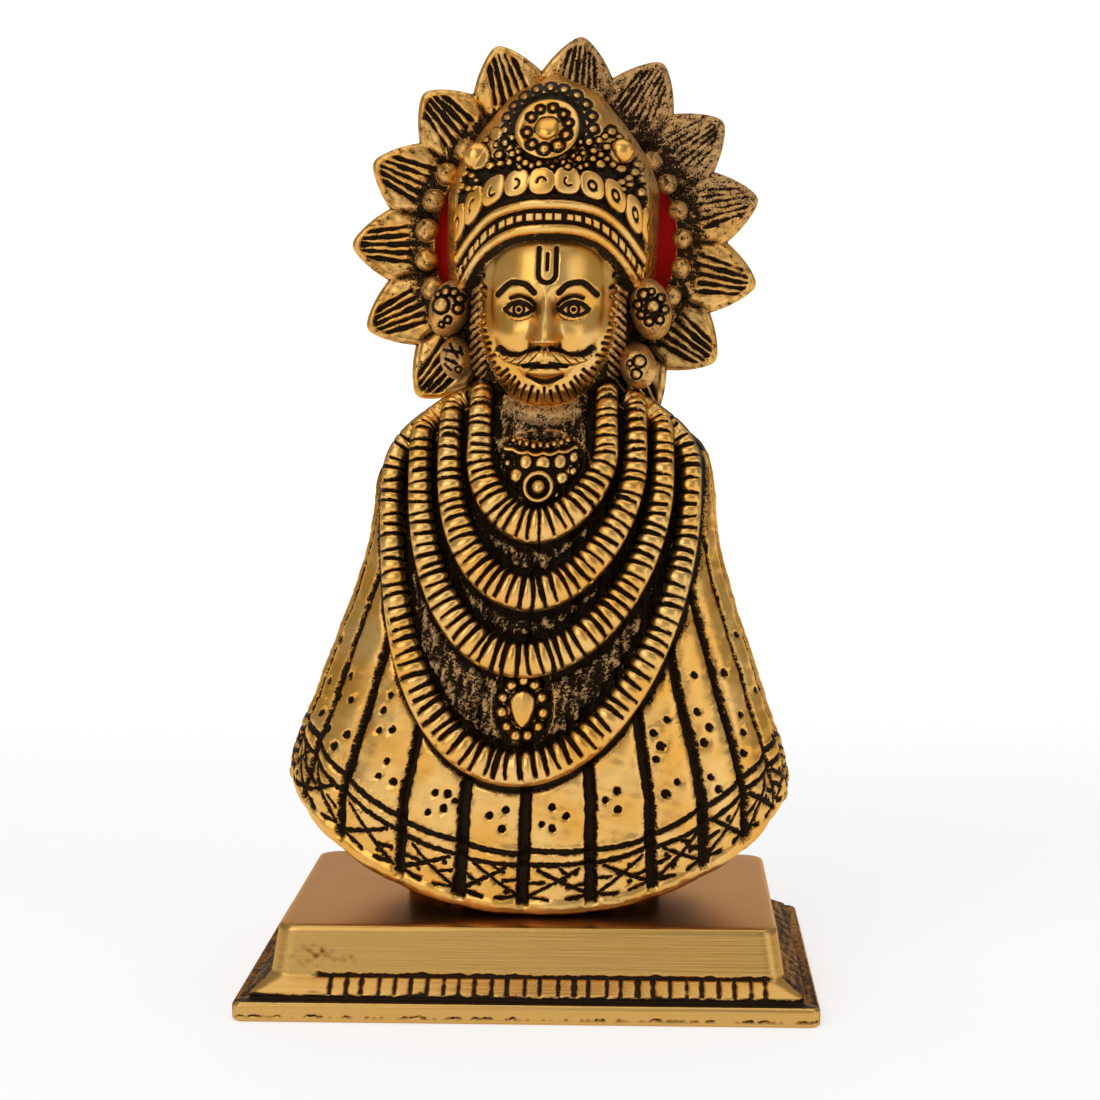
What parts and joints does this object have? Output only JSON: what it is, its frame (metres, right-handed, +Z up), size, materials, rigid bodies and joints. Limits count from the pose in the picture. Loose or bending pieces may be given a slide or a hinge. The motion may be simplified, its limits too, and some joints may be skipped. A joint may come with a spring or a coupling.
{
  "type": "garlanded deity figure on a plinth",
  "caption": "Small gold-finished cast idol of a crowned, garlanded figure in a pleated robe before a rayed halo, on a stepped rectangular plinth.",
  "frame": {"origin": "bottom centre of the plinth", "axes": "+Z up, the figure faces -Y, +X to the right as seen from the front"},
  "size_m": [0.07, 0.05, 0.1181],
  "materials": {
    "antique_gold": "polished gold finish over cast metal, with black patina in the carving",
    "plinth_gold": "brushed gold finish on the front, polished on top, dark and rough on the lower sides",
    "red_velvet": "deep red velvet on card"
  },
  "bodies": {
    "root": {"figure": "antique_gold", "plinth": "plinth_gold", "velvet_backing": "red_velvet"}
  },
  "joints": []
}
